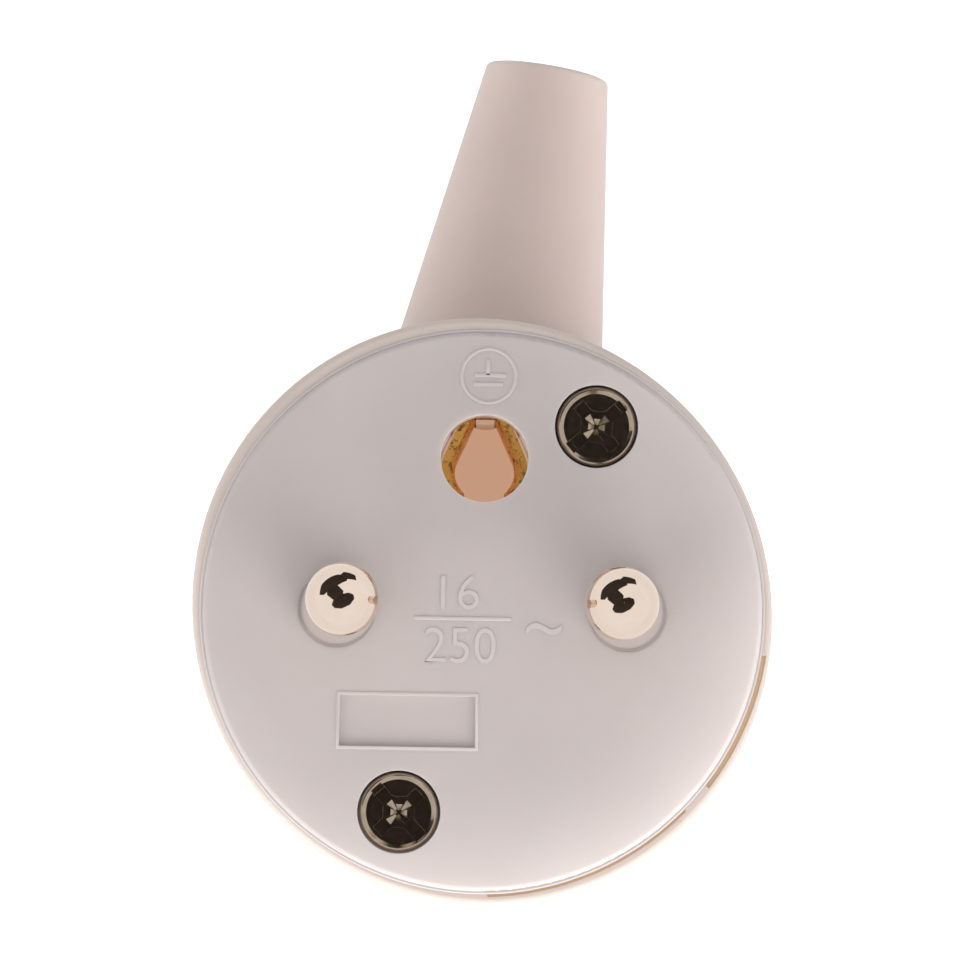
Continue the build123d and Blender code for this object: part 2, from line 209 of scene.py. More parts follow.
# Each lamp's place and edge in metres and power in watts, and the point that all aim at
LAMPS = {
    "lamp_lower_right": ((0.38, -0.50, 0.10), 0.6, 5.2),
    "lamp_lower_left": ((-0.42, -0.48, 0.10), 0.6, 3.6),
    "lamp_left": ((-0.58, -0.05, 0.10), 0.4, 0.3),
    "lamp_above": ((0.12, -0.45, 0.70), 0.5, 0.8),
}
LAMP_AIM = (0, 0, 0.04)

# Dark cards that the bright metal mirrors: where each shows in a pin's dome and its half
# width and height there, in parts of the dome's radius, and its number of corners; and how
# many metres off they hang
CARDS = {
    "card_middle": (0.03, -0.06, 0.32, 0.18, 9),
    "card_neck": (-0.19, 0.16, 0.20, 0.26, 6),
    "card_shoulder": (-0.28, 0.43, 0.42, 0.17, 7),
    "card_top": (0.16, 0.62, 0.24, 0.10, 5),
}
CARD_METRES = 0.45
CARD_COLOUR = (0.035, 0.028, 0.024)

# Camera: where it stands over the plate, what it looks at, and how the picture is turned
CAMERA_FOOT = (0.0, -35.6)
PICTURE_CENTRE = (0.05, 8.22)
PICTURE_TURN = 0.95
SENSOR_WIDTH = 36
CLIP_METRES = (0.05, 20)


def colour(red, green, blue):
    """Linear colour from the red, green and blue that a picture shows, 0 to 255."""
    return tuple(((level / 255 + 0.055) / 1.055) ** 2.4 for level in (red, green, blue))


class PlugColours(bpy.types.PropertyGroup):
    """Colours of the plug's plastics and metals, and of its painted inner glow and highlights"""

    plate: bpy.props.FloatVectorProperty(
        name="Plate", description="Moulded plate", default=colour(212, 202, 200),
        subtype="COLOR", size=3, min=0, max=1,
    )
    casing: bpy.props.FloatVectorProperty(
        name="Casing", description="Skirt, housing and ring", default=colour(224, 209, 201),
        subtype="COLOR", size=3, min=0, max=1,
    )
    sleeve: bpy.props.FloatVectorProperty(
        name="Sleeve", description="Flexible sleeve", default=colour(227, 208, 201),
        subtype="COLOR", size=3, min=0, max=1,
    )
    nickel: bpy.props.FloatVectorProperty(
        name="Nickel", description="Plating of the pins", default=colour(234, 216, 201),
        subtype="COLOR", size=3, min=0, max=1,
    )
    screw: bpy.props.FloatVectorProperty(
        name="Screw", description="Dull plating of the screws", default=colour(176, 160, 142),
        subtype="COLOR", size=3, min=0, max=1,
    )
    # Painted highlight on the bevelled edges of the screws' slot and recess
    edge_highlight: bpy.props.FloatVectorProperty(
        name="Worn edge", description="Edges of the screws' slots, rubbed bright",
        default=colour(252, 240, 224), subtype="COLOR", size=3, min=0, max=1,
    )
    brass: bpy.props.FloatVectorProperty(
        name="Brass", description="Bent earth strip", default=colour(255, 200, 104),
        subtype="COLOR", size=3, min=0, max=1,
    )
    # Painted glow of the pocket, for the light through the thin walls
    painted_inner_glow: bpy.props.FloatVectorProperty(
        name="Inner light", description="Light that the thin walls let into the pocket",
        default=colour(178, 145, 121), subtype="COLOR", size=3, min=0, max=1,
    )
    # Tan painted shade and painted glow for the lip's gaps
    painted_gap_shade_and_glow: bpy.props.FloatVectorProperty(
        name="Gap light", description="Light that shows in the gaps of the lip",
        default=colour(196, 172, 142), subtype="COLOR", size=3, min=0, max=1,
    )


class PlugSizes(bpy.types.PropertyGroup):
    """Sizes of the moulded marks and the picture"""

    mark_height: bpy.props.FloatProperty(
        name="Mark height", description="How far the moulded marks stand off the plate",
        default=0.03 * MM, unit="LENGTH",
    )
    mark_line: bpy.props.FloatProperty(
        name="Mark line", description="Width of the earth sign's ring", default=0.22 * MM,
        unit="LENGTH",
    )
    camera_height: bpy.props.FloatProperty(
        name="Camera height", description="Camera above the plate", default=0.95,
        unit="LENGTH",
    )
    picture_width: bpy.props.FloatProperty(
        name="Picture width", description="Width of the view at the plate",
        default=63.43 * MM, unit="LENGTH",
    )


def sizes():
    return bpy.context.scene.plug_sizes


def tones():
    return bpy.context.scene.plug_colours


def deselect_all():
    if bpy.context.object and bpy.context.object.mode != "OBJECT":
        bpy.ops.object.mode_set(mode="OBJECT")
    bpy.ops.object.select_all(action="DESELECT")


def select_only(piece):
    deselect_all()
    piece.select_set(True)
    bpy.context.view_layer.objects.active = piece


def settle(piece, name):
    """Names a finished piece and puts its place into its mesh."""
    select_only(piece)
    bpy.ops.object.transform_apply(location=True, rotation=True, scale=True)
    piece.name = name
    piece.data.name = name
    return piece


def place_piece(piece, name, where, turn=0.0, tilt=0.0):
    """Turns a finished piece, moves it to its place and fixes it there."""
    piece.rotation_euler = (0, math.radians(tilt), math.radians(turn))
    piece.location = [c * MM for c in where]
    return settle(piece, name)


def finish_piece(piece, material):
    """Gives a new piece its material and lets it ride on the plug's one body."""
    piece.data.materials.clear()
    piece.data.materials.append(bpy.data.materials[material])
    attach(piece, "root")


def link(tree, output, socket):
    tree.links.new(output, socket)


def new_material(name):
    """Material with one Principled shader, and its tree and shader."""
    made = bpy.data.materials.new(name)
    made.use_nodes = True
    shader = made.node_tree.nodes["Principled BSDF"]
    return made, made.node_tree, shader


def object_noise(tree, scale, detail=3.0, roughness=0.5):
    """Noise that is fixed to the piece, its scale in cycles a metre."""
    place = tree.nodes.new("ShaderNodeTexCoord")
    noise = tree.nodes.new("ShaderNodeTexNoise")
    noise.inputs["Scale"].default_value = scale
    noise.inputs["Detail"].default_value = detail
    noise.inputs["Roughness"].default_value = roughness
    link(tree, place.outputs["Object"], noise.inputs["Vector"])
    return noise.outputs["Fac"]


def spread(tree, value, span, out_span):
    """Maps a value from one span to another."""
    ranged = tree.nodes.new("ShaderNodeMapRange")
    ranged.inputs["From Min"].default_value = span[0]
    ranged.inputs["From Max"].default_value = span[1]
    ranged.inputs["To Min"].default_value = out_span[0]
    ranged.inputs["To Max"].default_value = out_span[1]
    link(tree, value, ranged.inputs["Value"])
    return ranged.outputs["Result"]


def math_node(tree, operation, *values):
    """Result of a sum on sockets and plain numbers."""
    made = tree.nodes.new("ShaderNodeMath")
    made.operation = operation
    for socket, value in zip(made.inputs, values):
        if isinstance(value, (int, float)):
            socket.default_value = value
        else:
            link(tree, value, socket)
    return made.outputs[0]


def blend_colours(tree, value, first, second):
    """Colour that goes from first to second as value goes from 0 to 1."""
    mix = tree.nodes.new("ShaderNodeMix")
    mix.data_type = "RGBA"
    mix.inputs["A"].default_value = (*first, 1)
    mix.inputs["B"].default_value = (*second, 1)
    link(tree, value, mix.inputs["Factor"])
    return mix.outputs["Result"]


def roughen(tree, shader, height, depth):
    """Bump from a height value."""
    bump = tree.nodes.new("ShaderNodeBump")
    bump.inputs["Distance"].default_value = depth * MM
    link(tree, height, bump.inputs["Height"])
    link(tree, bump.outputs["Normal"], shader.inputs["Normal"])


def tinted(base, factor):
    return tuple(min(1.0, channel * factor) for channel in base)


def moulded_plastic(name, base, roughness, glow=0.0, glow_depth=2.2):
    """Moulded plastic with faint flow clouds, a fine grain and light going inside."""
    made, tree, shader = new_material(name)
    clouds = spread(tree, object_noise(tree, CLOUD_NOISE), CLOUD_SPAN, (0, 1))
    tone = blend_colours(tree, clouds, *[tinted(base, factor) for factor in CLOUD_TINTS])
    link(tree, tone, shader.inputs["Base Color"])
    gloss_span = (roughness - GLOSS_SWAY, roughness + GLOSS_SWAY)
    gloss = spread(tree, object_noise(tree, GLOSS_NOISE), GLOSS_SPAN, gloss_span)
    link(tree, gloss, shader.inputs["Roughness"])
    shader.inputs["Subsurface Weight"].default_value = glow
    shader.inputs["Subsurface Radius"].default_value = LIGHT_REACH
    shader.inputs["Subsurface Scale"].default_value = glow_depth * MM
    shader.inputs["IOR"].default_value = PLASTIC_IOR
    roughen(tree, shader, object_noise(tree, GRAIN_NOISE, 4), GRAIN_DEPTH)
    return made


def painted_glow_plastic(name, base, strength):
    """Plastic in a hollow with a painted glow, an emission of its own colour for light from
    behind through the thin walls.
    """
    made = moulded_plastic(name, base, roughness=0.5)
    shader = made.node_tree.nodes["Principled BSDF"]
    shader.inputs["Emission Color"].default_value = (*base, 1)
    shader.inputs["Emission Strength"].default_value = strength


def painted_glow_ring(tree, middle, start, full, strength):
    """Strength that grows from the start distance to the full one, from an upright line."""
    place = tree.nodes.new("ShaderNodeTexCoord")
    flat = tree.nodes.new("ShaderNodeVectorMath")
    flat.operation = "MULTIPLY"
    flat.inputs[1].default_value = (1, 1, 0)
    link(tree, place.outputs["Object"], flat.inputs[0])
    apart = tree.nodes.new("ShaderNodeVectorMath")
    apart.operation = "DISTANCE"
    apart.inputs[1].default_value = (middle[0] * MM, middle[1] * MM, 0)
    link(tree, flat.outputs["Vector"], apart.inputs[0])
    growth = spread(tree, apart.outputs["Value"], (start * MM, full * MM), (0, 1))
    soft = math_node(tree, "POWER", growth, PAINTED_GLOW_CURVE)
    return spread(tree, soft, (0, 1), (0, strength))


def plate_plastic():
    """Plastic of the plate, with a painted glow at its edge and round its earth hole for the
    light let through there.
    """
    made = moulded_plastic("plate_plastic", tones().plate, 0.42, glow=0.5, glow_depth=1.0)
    tree = made.node_tree
    shader = tree.nodes["Principled BSDF"]
    # Painted glow: emission that grows towards the plate's edge and the hole's rim
    total = math_node(tree, "ADD", painted_glow_ring(tree, *PLATE_PAINTED_GLOW), painted_glow_ring(tree, *HOLE_PAINTED_GLOW))
    shader.inputs["Emission Color"].default_value = (*PAINTED_GLOW_COLOUR, 1)
    link(tree, total, shader.inputs["Emission Strength"])
    return made


def bright_metal(name, base, roughness, grain, wear, worn_span=(0.35, 0.7)):
    """Plated or bright metal, its gloss broken by fine handling marks."""
    made, tree, shader = new_material(name)
    shader.inputs["Metallic"].default_value = 1
    marks = spread(tree, object_noise(tree, grain, 6, WEAR_ROUGHNESS), worn_span, (0, 1))
    tone = blend_colours(tree, marks, base, tinted(base, 1 - wear))
    link(tree, tone, shader.inputs["Base Color"])
    gloss_span = [roughness * factor for factor in METAL_GLOSS_SWAY]
    gloss_noise = object_noise(tree, grain * METAL_GLOSS_NOISE, 5)
    link(tree, spread(tree, gloss_noise, GLOSS_SPAN, gloss_span), shader.inputs["Roughness"])
    dents = object_noise(tree, grain * METAL_DENT_NOISE, 5)
    roughen(tree, shader, dents, METAL_DENT_DEPTH)
    return made


def bent_brass():
    """Brass of the earth strip, gold with dark flecks."""
    made = bright_metal(
        "bent_brass", tones().brass, 0.34, grain=1700, wear=0.75, worn_span=(0.52, 0.62)
    )
    made.node_tree.nodes["Principled BSDF"].inputs["Metallic"].default_value = 0.5
    return made


class PLUG_OT_finishes(bpy.types.Operator):
    """Dress the pieces of the frame in their plastics and metals"""

    bl_idname = "plug.finishes"
    bl_label = "Finishes"

    def execute(self, context):
        tone = tones()
        plate = plate_plastic()
        casing = moulded_plastic("casing_plastic", tone.casing, 0.38, glow=0.3, glow_depth=1.5)
        sleeve = moulded_plastic("sleeve_plastic", tone.sleeve, 0.5, glow=0.35)
        # The plate's plastic made lighter: a painted sheen on the marks and a painted highlight
        # along the seam
        moulded_plastic("painted_sheen_plastic", tinted(tone.plate, 1.06), 0.36)
        moulded_plastic("trim_plastic", tone.plate, 0.42)
        # Painted glow for the pocket's floor, rib and lining
        painted_glow_plastic("pocket_plastic", tone.painted_inner_glow, 1.0)
        painted_glow_plastic("lining_plastic", tinted(tone.painted_inner_glow, 1.05), 0.4)
        # Tan painted shade with a painted glow for the lip's gaps
        painted_glow_plastic("gap_plastic", tone.painted_gap_shade_and_glow, 0.5)
        nickel = bright_metal("bright_nickel", tone.nickel, 0.05, grain=700, wear=0.04)
        screw = bright_metal("dull_nickel", tone.screw, 0.16, grain=1500, wear=0.2)
        # Painted highlight for the bevelled edges of the screws' slot and recess
        bright_metal("edge_highlight", tone.edge_highlight, 0.3, grain=1500, wear=0.1)
        brass = bent_brass()
        finish = {
            "face_plate": plate,
            "back_casing": casing,
            "cord_clamp": casing,
            "cable_sleeve": sleeve,
            "line_pin": nickel,
            "neutral_pin": nickel,
            "earth_contact": brass,
            "earth_terminal": brass,
        }
        for node, piece in frame["nodes"].items():
            piece.data.materials.clear()
            piece.data.materials.append(finish.get(node, screw))
        return {"FINISHED"}


def arc(radius, middle, level, sweep, steps):
    """Points of a rounded stretch of a profile from its side upwards, as radius and level."""
    points = []
    for step in range(steps + 1):
        angle = math.radians(sweep * step / steps)
        points.append((middle + radius * math.cos(angle), level + radius * math.sin(angle)))
    return points


def turned(name, profile, steps=96):
    """Turned piece about the Z axis, from a profile of radius and level."""
    deselect_all()
    radius, level = profile[0]
    bpy.ops.mesh.primitive_circle_add(
        vertices=steps, radius=radius * MM, fill_type="NGON", location=(0, 0, 0)
    )
    piece = bpy.context.object
    bpy.ops.object.mode_set(mode="EDIT")
    bpy.ops.mesh.select_all(action="SELECT")
    bpy.ops.transform.translate(value=(0, 0, level * MM))
    for next_radius, next_level in profile[1:]:
        bpy.ops.mesh.extrude_region_move(
            TRANSFORM_OT_translate={"value": (0, 0, (next_level - level) * MM)}
        )
        size = next_radius / radius
        bpy.ops.transform.resize(value=(size, size, 1), center_override=(0, 0, next_level * MM))
        radius, level = next_radius, next_level
    bpy.ops.mesh.select_all(action="SELECT")
    bpy.ops.mesh.normals_make_consistent(inside=False)
    bpy.ops.object.mode_set(mode="OBJECT")
    piece.name = name
    return piece


def round_bead(name, middle, radius, bead, steps, flatness=1.0):
    """Ring of round section that lies flat, or of oval section with a flatness under 1."""
    deselect_all()
    bpy.ops.mesh.primitive_torus_add(
        major_radius=radius * MM, minor_radius=bead * MM, major_segments=steps,
        minor_segments=BEAD_STEPS, location=[c * MM for c in middle],
    )
    ring = bpy.context.object
    ring.scale.z = flatness
    bpy.ops.object.shade_smooth()
    return settle(ring, name)


def box_piece(name, size, middle):
    """Box, as a cutter or a bar."""
    deselect_all()
    bpy.ops.mesh.primitive_cube_add(
        size=1, location=[c * MM for c in middle], scale=[s * MM for s in size]
    )
    return settle(bpy.context.object, name)


def select_faces(piece, wanted):
    """In edit mode, selects only the faces that wanted says yes to."""
    bpy.ops.mesh.select_mode(type="FACE")
    bpy.ops.mesh.select_all(action="DESELECT")
    bpy.ops.object.mode_set(mode="OBJECT")
    for face in piece.data.polygons:
        face.select = wanted(face)
    bpy.ops.object.mode_set(mode="EDIT")


def star_prism(name, radius, reach, top, bottom, taper=1.0):
    """Eight-sided prism with four arms, narrower below where it tapers."""
    deselect_all()
    apothem = radius * math.cos(math.pi / 8)
    bpy.ops.mesh.primitive_cylinder_add(
        vertices=8, radius=radius * MM, depth=(top - bottom) * MM,
        location=(0, 0, (top + bottom) / 2 * MM), rotation=(0, 0, math.pi / 8),
    )
    piece = settle(bpy.context.object, name)
    bpy.ops.object.mode_set(mode="EDIT")
    for x, y in ((1, 0), (0, 1), (-1, 0), (0, -1)):
        side = Vector((x, y, 0))
        select_faces(
            piece,
            lambda face: face.normal.dot(side) > FACING
            and abs(face.center.cross(side).z) < ON_AXIS * MM,
        )
        bpy.ops.mesh.extrude_region_move(
            TRANSFORM_OT_translate={"value": side * (reach - apothem) * MM}
        )
    if taper != 1.0:
        select_faces(piece, lambda face: face.normal.z < -FACING)
        bpy.ops.transform.resize(value=(taper, taper, 1), center_override=(0, 0, bottom * MM))
    bpy.ops.mesh.select_all(action="SELECT")
    bpy.ops.mesh.remove_doubles(threshold=WELD * MM)
    bpy.ops.mesh.normals_make_consistent(inside=False)
    bpy.ops.object.mode_set(mode="OBJECT")
    return piece


def carve(piece, cutter):
    """Cuts a piece with another, which is used up."""
    deselect_all()
    bpy.context.view_layer.objects.active = piece
    cut = piece.modifiers.new("carve", "BOOLEAN")
    cut.operation = "DIFFERENCE"
    cut.solver = "EXACT"
    cut.object = cutter
    bpy.ops.object.modifier_apply(modifier=cut.name)
    bpy.data.objects.remove(cutter)


def soften_edges(piece, width, angle=30, smoothing=30, slot=-1):
    """Small bevel on the sharp edges, of its own material slot if wanted, then smooth shading."""
    select_only(piece)
    bevel = piece.modifiers.new("edges", "BEVEL")
    bevel.width = width * MM
    bevel.segments = 2
    bevel.limit_method = "ANGLE"
    bevel.angle_limit = math.radians(angle)
    bevel.material = slot
    bpy.ops.object.modifier_apply(modifier=bevel.name)
    bpy.ops.object.shade_smooth_by_angle(angle=math.radians(smoothing))


def screw_form():
    """Casing screw with a rounded rim, a dished face, a slot and a cross recess."""
    profile = [(POINT_RADIUS, -SCREW_LENGTH), (SHANK_RADIUS, POINT_LENGTH - SCREW_LENGTH)]
    profile += [(SHANK_RADIUS, -HEAD_HEIGHT), (HEAD_RADIUS - HEAD_CHAMFER, -HEAD_HEIGHT)]
    profile += [(HEAD_RADIUS, HEAD_CHAMFER - HEAD_HEIGHT)]
    profile += arc(RIM_ROUND, HEAD_RADIUS - RIM_ROUND, -RIM_ROUND, RIM_SWEEP, RIM_STEPS)
    profile += [(RIM_INNER, -DISH_DEPTH), (DISH_MIDDLE, -DISH_DEPTH)]
    form = turned("screw_form", profile)
    slot_size = (2 * SLOT_REACH, SLOT_WIDTH, SLOT_DEPTH + CUTTER_RISE)
    carve(form, box_piece("slot", slot_size, (0, 0, (CUTTER_RISE - SLOT_DEPTH) / 2)))
    carve(form, star_prism("cross", RECESS_RADIUS, RECESS_REACH, CUTTER_RISE, -RECESS_DEPTH))
    pit_top = PIT_OVERLAP - RECESS_DEPTH
    carve(form, star_prism("pit", PIT_RADIUS, PIT_REACH, pit_top, -PIT_DEPTH, PIT_TAPER))
    form.data.materials.clear()
    # The second material is the painted highlight that the bevel gets
    for name in ("dull_nickel", "edge_highlight"):
        form.data.materials.append(bpy.data.materials[name])
    soften_edges(form, HIGHLIGHT_EDGE_WIDTH, HIGHLIGHT_EDGE_ANGLE, SCREW_SMOOTHING, HIGHLIGHT_EDGE_SLOT)
    return form


def copy_of(piece):
    """Second piece of the same form, with its own mesh."""
    twin = piece.copy()
    twin.data = piece.data.copy()
    bpy.context.scene.collection.objects.link(twin)
    return twin


class PLUG_OT_casing_screws(bpy.types.Operator):
    """Put the two detailed screws in place of the plain ones"""

    bl_idname = "plug.casing_screws"
    bl_label = "Casing screws"

    def execute(self, context):
        form = screw_form()
        for node, turn in SCREW_TURNS.items():
            low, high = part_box(node)
            middle = (low + high) / 2 / MM
            place = (middle.x, middle.y, SCREW_TOP)
            screw = place_piece(copy_of(form), f"{node}_detail", place, turn)
            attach(screw, "root")
            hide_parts(node)
        bpy.data.objects.remove(form)
        return {"FINISHED"}


def pin_foot(mount):
    """Middle of a pin's foot, on the face."""
    return Vector(mount["pos_m"]) / MM - Vector(mount["axis"]) * mount["dims"]["length_mm"] / 2


def pin_shaft(mount):
    """Smoothly turned shaft and dome over a pin's faceted ones."""
    straight = mount["dims"]["length_mm"]
    dome = PIN_LENGTH - straight
    profile = [(PIN_RADIUS, -PIN_SINK), (PIN_RADIUS, straight)]
    for step in range(1, DOME_STEPS + 1):
        angle = math.pi / 2 * step / DOME_STEPS
        radius = max(PIN_TIP_FLAT, PIN_RADIUS * math.cos(angle))
        profile.append((radius, straight + dome * math.sin(angle)))
    tilt = math.degrees(math.asin(mount["axis"][0]))
    name = f"{mount['name']}_shaft"
    shaft = place_piece(turned("shaft", profile, PIN_STEPS), name, pin_foot(mount), tilt=tilt)
    bpy.ops.object.shade_smooth_by_angle(angle=math.radians(PIN_SMOOTHING))
    return shaft


def pin_collar(mount):
    """Thin moulded collar that fills the clearance round a pin's foot."""
    radius = PIN_RADIUS + COLLAR_WIDTH
    collar = turned("collar", [(radius, COLLAR_FOOT), (radius, COLLAR_TOP)])
    return place_piece(collar, f"{mount['name']}_collar", pin_foot(mount))


class PLUG_OT_pins(bpy.types.Operator):
    """Put smoothly turned pins over the faceted ones, each with its collar"""

    bl_idname = "plug.pins"
    bl_label = "Pins"

    def execute(self, context):
        for mount in mounts.values():
            if mount["kind"] == "pin":
                finish_piece(pin_shaft(mount), "bright_nickel")
                finish_piece(pin_collar(mount), "trim_plastic")
        return {"FINISHED"}


def mark_rise():
    return sizes().mark_height / MM


def mark_block(name, x, y, width, height):
    """Flat block that stands off the plate as far as the marks do."""
    rise = mark_rise()
    size = (width, height, rise + MARK_SINK)
    return box_piece(name, size, (x, y, FACE + (rise - MARK_SINK) / 2))


def raised_bar(name, place):
    """Flat bar with softened edges."""
    bar = mark_block(name, *place)
    soften_edges(bar, BAR_SOFTENING)
    return bar


def earth_ring():
    """Flattened ring of the earth sign."""
    line = sizes().mark_line / MM
    flatness = 2 * mark_rise() / line
    middle = (*EARTH_RING, FACE)
    return round_bead(
        "earth_ring", middle, EARTH_RING_RADIUS, line / 2, EARTH_RING_STEPS, flatness
    )


def raised_word(name, words, x, y, width, height):
    """Raised figures, fitted to the width and height that they have on the plate."""
    rise = mark_rise()
    deselect_all()
    bpy.ops.object.text_add(location=(0, 0, 0))
    piece = bpy.context.object
    piece.data.body = words
    piece.data.align_x = "CENTER"
    piece.data.align_y = "CENTER"
    piece.data.extrude = LETTER_DEPTH
    piece.data.bevel_depth = LETTER_BEVEL
    piece.data.resolution_u = LETTER_CURVES
    piece.data.offset = LETTER_THINNING
    bpy.ops.object.convert(target="MESH")
    corners = [Vector(corner) for corner in piece.bound_box]
    low = Vector([min(corner[axis] for corner in corners) for axis in range(3)])
    high = Vector([max(corner[axis] for corner in corners) for axis in range(3)])
    wanted = (width, height, rise + MARK_SINK)
    fit = [size * MM / found for size, found in zip(wanted, high - low)]
    bpy.ops.object.mode_set(mode="EDIT")
    bpy.ops.mesh.select_all(action="SELECT")
    bpy.ops.transform.translate(value=-(low + high) / 2)
    bpy.ops.transform.resize(value=fit, center_override=(0, 0, 0))
    bpy.ops.transform.translate(value=(x * MM, y * MM, FACE_Z + (rise - MARK_SINK) / 2 * MM))
    bpy.ops.object.mode_set(mode="OBJECT")
    return settle(piece, name)


def panel_frame():
    """Thin raised frame round the bare panel."""
    x, y, width, height = PANEL
    outer = mark_block(
        "panel_frame", x, y, width + 2 * PANEL_FRAME, height + 2 * PANEL_FRAME
    )
    carve(outer, box_piece("opening", (width, height, 1), (x, y, FACE)))
    soften_edges(outer, PANEL_SOFTENING)
    return outer


class PLUG_OT_marks(bpy.types.Operator):
    """Raise the earth sign, the rating and the bare panel's frame on the plate"""

    bl_idname = "plug.marks"
    bl_label = "Moulded marks"

    def execute(self, context):
        pieces = [earth_ring()]
        pieces += [raised_bar(name, place) for name, place in EARTH_BARS.items()]
        pieces.append(raised_bar("rating_line", RATING_LINE))
        pieces += [raised_word(name, *word) for name, word in RATING_WORDS.items()]
        pieces.append(panel_frame())
        for piece in pieces:
            finish_piece(piece, "painted_sheen_plastic")
        return {"FINISHED"}


def plate_edge_ring(name, bead, outwards, level):
    """Round bead along the plate's edge, at a level from the face."""
    middle = (0, 0, FACE + level)
    return round_bead(name, middle, PLATE_RADIUS + outwards, bead, PLATE_EDGE_STEPS)


def pocket_floor():
    """Round floor that closes the pocket at the plate's underside."""
    floor = turned("floor", [(POCKET_RADIUS, -POCKET_FLOOR), (POCKET_RADIUS, 0)])
    return place_piece(floor, "pocket_floor", (*POCKET_MIDDLE, PLATE_UNDERSIDE))


def pocket_lining():
    """Round ledge in the pocket, outside the leaves of the earth contact."""
    middle = (*EARTH_HOLE, LINING_LEVEL)
    return round_bead("pocket_lining", middle, LINING_RADIUS, LINING_BEAD, LINING_STEPS)


class PLUG_OT_inner_pieces(bpy.types.Operator):
    """Fill the seam round the plate and close the pocket under the earth contact"""

    bl_idname = "plug.inner_pieces"
    bl_label = "Seam and pocket"

    def execute(self, context):
        plastics = {
            # Seam bead in the lighter plastic: a painted highlight along the seam
            plate_edge_ring("plate_seam", SEAM_BEAD, SEAM_OUTWARDS, SEAM_LEVEL): "painted_sheen_plastic",
            # Ring at the foot of the lip's gaps: tan painted shade and painted glow
            plate_edge_ring("gap_floor", GAP_BEAD, GAP_BEAD, GAP_LEVEL): "gap_plastic",
            # Pocket floor, rib and lining glow with painted light
            pocket_floor(): "pocket_plastic",
            box_piece("pocket_rib", RIB_SIZE, RIB_MIDDLE): "lining_plastic",
            pocket_lining(): "lining_plastic",
        }
        for piece, plastic in plastics.items():
            finish_piece(piece, plastic)
        return {"FINISHED"}


def camera_rays(tree):
    """1 for rays that come straight from the camera."""
    return tree.nodes.new("ShaderNodeLightPath").outputs["Is Camera Ray"]


def mirror_rays(tree):
    """1 for rays that metal or glass sends on."""
    path = tree.nodes.new("ShaderNodeLightPath")
    glossy, passed = path.outputs["Is Glossy Ray"], path.outputs["Is Transmission Ray"]
    return math_node(tree, "MAXIMUM", glossy, passed)


def floor_white():
    """White to the camera and to mirrors, and a floor that takes shadows to the rest."""
    made = bpy.data.materials.new("floor_white")
    made.use_nodes = True
    tree = made.node_tree
    tree.nodes.clear()
    out = tree.nodes.new("ShaderNodeOutputMaterial")
    paper = tree.nodes.new("ShaderNodeBsdfDiffuse")
    paper.inputs["Color"].default_value = (FLOOR_WHITE, FLOOR_WHITE, FLOOR_WHITE, 1)
    lift = tree.nodes.new("ShaderNodeEmission")
    lifted = spread(tree, camera_rays(tree), (0, 1), (0, FLOOR_LIFT))
    link(tree, lifted, lift.inputs["Strength"])
    total = tree.nodes.new("ShaderNodeAddShader")
    link(tree, paper.outputs[0], total.inputs[0])
    link(tree, lift.outputs[0], total.inputs[1])
    even_white = tree.nodes.new("ShaderNodeEmission")
    even_white.inputs["Strength"].default_value = MIRRORED_WHITE
    choice = tree.nodes.new("ShaderNodeMixShader")
    link(tree, mirror_rays(tree), choice.inputs["Fac"])
    link(tree, total.outputs[0], choice.inputs[1])
    link(tree, even_white.outputs[0], choice.inputs[2])
    link(tree, choice.outputs[0], out.inputs["Surface"])
    return made


def lay_floor():
    """Pale floor that looks white and keeps the plug's shadow."""
    deselect_all()
    bpy.ops.mesh.primitive_plane_add(size=FLOOR_METRES, location=(0, 0, FLOOR_LEVEL * MM))
    floor = settle(bpy.context.object, "floor")
    floor.data.materials.append(floor_white())


def surround():
    """White surroundings, dimmer where they light the plug than where they are seen."""
    world = bpy.data.worlds.new("studio")
    bpy.context.scene.world = world
    world.use_nodes = True
    tree = world.node_tree
    background = tree.nodes["Background"]
    background.inputs["Color"].default_value = (1, 1, 1, 1)
    seen = math_node(tree, "MAXIMUM", camera_rays(tree), mirror_rays(tree))
    strength = spread(tree, seen, (0, 1), (ROOM_LIGHT, 1))
    link(tree, strength, background.inputs["Strength"])


def hang_lamps():
    """Soft boxes round the plug, strongest from below right of the picture."""
    for name, (place, size, power) in LAMPS.items():
        light = bpy.data.lights.new(name, "AREA")
        light.shape = "SQUARE"
        light.size = size
        light.energy = power
        lamp = bpy.data.objects.new(name, light)
        bpy.context.scene.collection.objects.link(lamp)
        lamp.location = place
        aim = Vector(LAMP_AIM) - Vector(place)
        lamp.rotation_euler = aim.to_track_quat("-Z", "Y").to_euler()
        lamp.visible_glossy = False


def card_black():
    """Dull black of the mirrored cards."""
    made, _, shader = new_material("card_black")
    shader.inputs["Base Color"].default_value = (*CARD_COLOUR, 1)
    shader.inputs["Roughness"].default_value = 1
    shader.inputs["Specular IOR Level"].default_value = 0
    return made


def mirrored(u, v):
    """Direction that a dome sends to the camera at a point of its disc."""
    depth = math.sqrt(1 - u * u - v * v)
    return Vector((2 * u * depth, 2 * v * depth, 2 * depth * depth - 1))


def hang_cards():
    """Dark cards over the plug, seen only in its bright metal."""
    black = card_black()
    top = Vector((0, 0, FACE_Z + (PIN_LENGTH - PIN_RADIUS) * MM))
    for name, (u, v, half_width, half_height, corners) in CARDS.items():
        deselect_all()
        bpy.ops.mesh.primitive_circle_add(vertices=corners, radius=1, fill_type="NGON")
        card = bpy.context.object
        middle = mirrored(u, v)
        across = math.tan(mirrored(u + half_width, v).angle(mirrored(u - half_width, v)) / 2)
        along = math.tan(mirrored(u, v + half_height).angle(mirrored(u, v - half_height)) / 2)
        card.scale = (across * CARD_METRES, along * CARD_METRES, 1)
        card.rotation_euler = middle.to_track_quat("Z", "Y").to_euler()
        card.location = top + middle * CARD_METRES
        card = settle(card, name)
        card.data.materials.append(black)
        for ray in ("camera", "diffuse", "transmission", "volume_scatter", "shadow"):
            setattr(card, f"visible_{ray}", False)


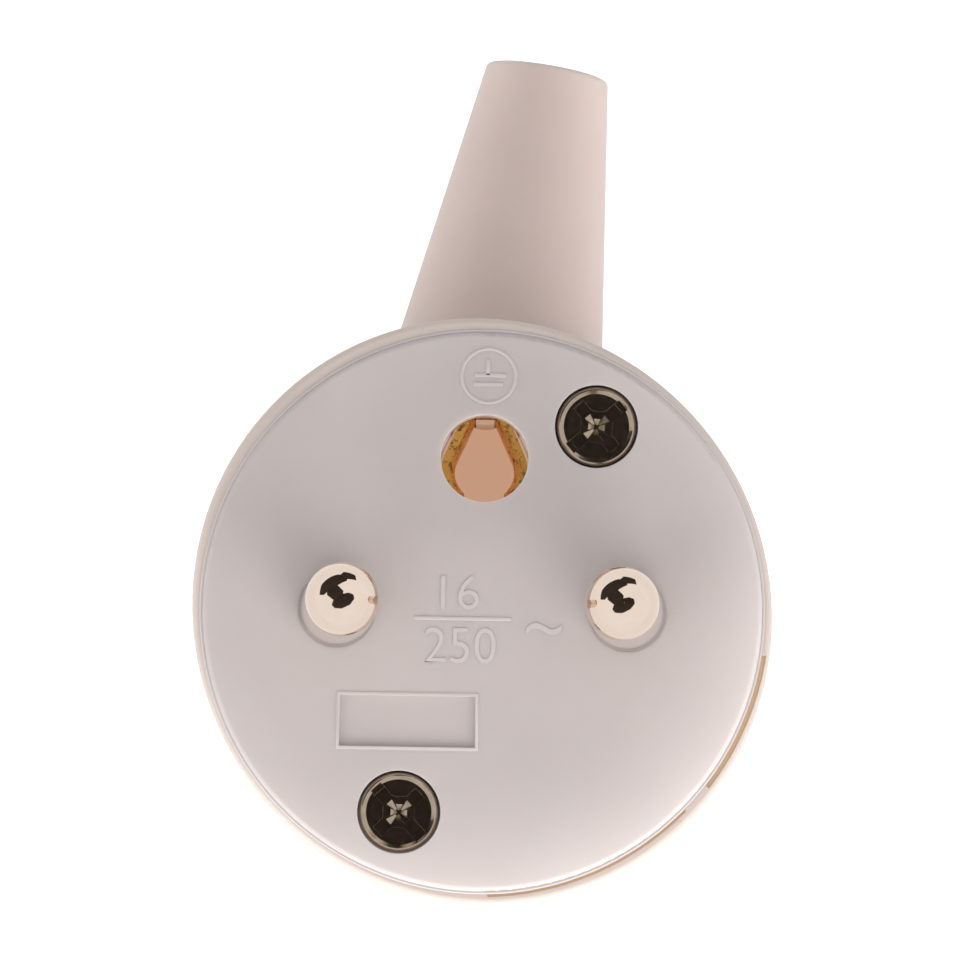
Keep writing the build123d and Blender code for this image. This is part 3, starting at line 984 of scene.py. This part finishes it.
def set_camera():
    """Long lens above the pins, a little towards the bottom of the picture."""
    data = bpy.data.cameras.new("camera")
    camera = bpy.data.objects.new("camera", data)
    bpy.context.scene.collection.objects.link(camera)
    place = Vector((CAMERA_FOOT[0] * MM, CAMERA_FOOT[1] * MM, FACE_Z + sizes().camera_height))
    aim = Vector((PICTURE_CENTRE[0] * MM, PICTURE_CENTRE[1] * MM, FACE_Z)) - place
    turn = math.radians(PICTURE_TURN)
    back = -aim.normalized()
    across = Vector((-math.sin(turn), math.cos(turn), 0)).cross(back).normalized()
    up = back.cross(across)
    camera.rotation_euler = Matrix((across, up, back)).transposed().to_euler()
    camera.location = place
    data.sensor_width = SENSOR_WIDTH
    data.lens = SENSOR_WIDTH * aim.length / sizes().picture_width
    data.clip_start, data.clip_end = CLIP_METRES
    bpy.context.scene.camera = camera


class PLUG_OT_stage(bpy.types.Operator):
    """Lay the floor and set the lamps, the mirrored cards and the camera"""

    bl_idname = "plug.stage"
    bl_label = "Studio"

    def execute(self, context):
        context.scene.view_settings.view_transform = "Standard"
        lay_floor()
        surround()
        hang_lamps()
        hang_cards()
        set_camera()
        return {"FINISHED"}


class PLUG_PT_panel(bpy.types.Panel):
    """The plug's colours, sizes and steps in the sidebar"""

    bl_label = "Plug"
    bl_idname = "PLUG_PT_panel"
    bl_space_type = "VIEW_3D"
    bl_region_type = "UI"
    bl_category = "Plug"

    def draw(self, context):
        for group in (context.scene.plug_colours, context.scene.plug_sizes):
            for name in type(group).__annotations__:
                self.layout.prop(group, name)
        for operator in OPERATORS:
            self.layout.operator(operator.bl_idname)


OPERATORS = (
    PLUG_OT_finishes,
    PLUG_OT_casing_screws,
    PLUG_OT_pins,
    PLUG_OT_marks,
    PLUG_OT_inner_pieces,
    PLUG_OT_stage,
)
CLASSES = (PlugColours, PlugSizes, *OPERATORS, PLUG_PT_panel)


def register():
    for item in CLASSES:
        bpy.utils.register_class(item)
    bpy.types.Scene.plug_colours = bpy.props.PointerProperty(type=PlugColours)
    bpy.types.Scene.plug_sizes = bpy.props.PointerProperty(type=PlugSizes)


def unregister():
    del bpy.types.Scene.plug_sizes
    del bpy.types.Scene.plug_colours
    for item in reversed(CLASSES):
        bpy.utils.unregister_class(item)


def main():
    register()
    bpy.ops.plug.finishes()
    bpy.ops.plug.casing_screws()
    bpy.ops.plug.pins()
    bpy.ops.plug.marks()
    bpy.ops.plug.inner_pieces()
    bpy.ops.plug.stage()


if __name__ == "__main__":
    main()
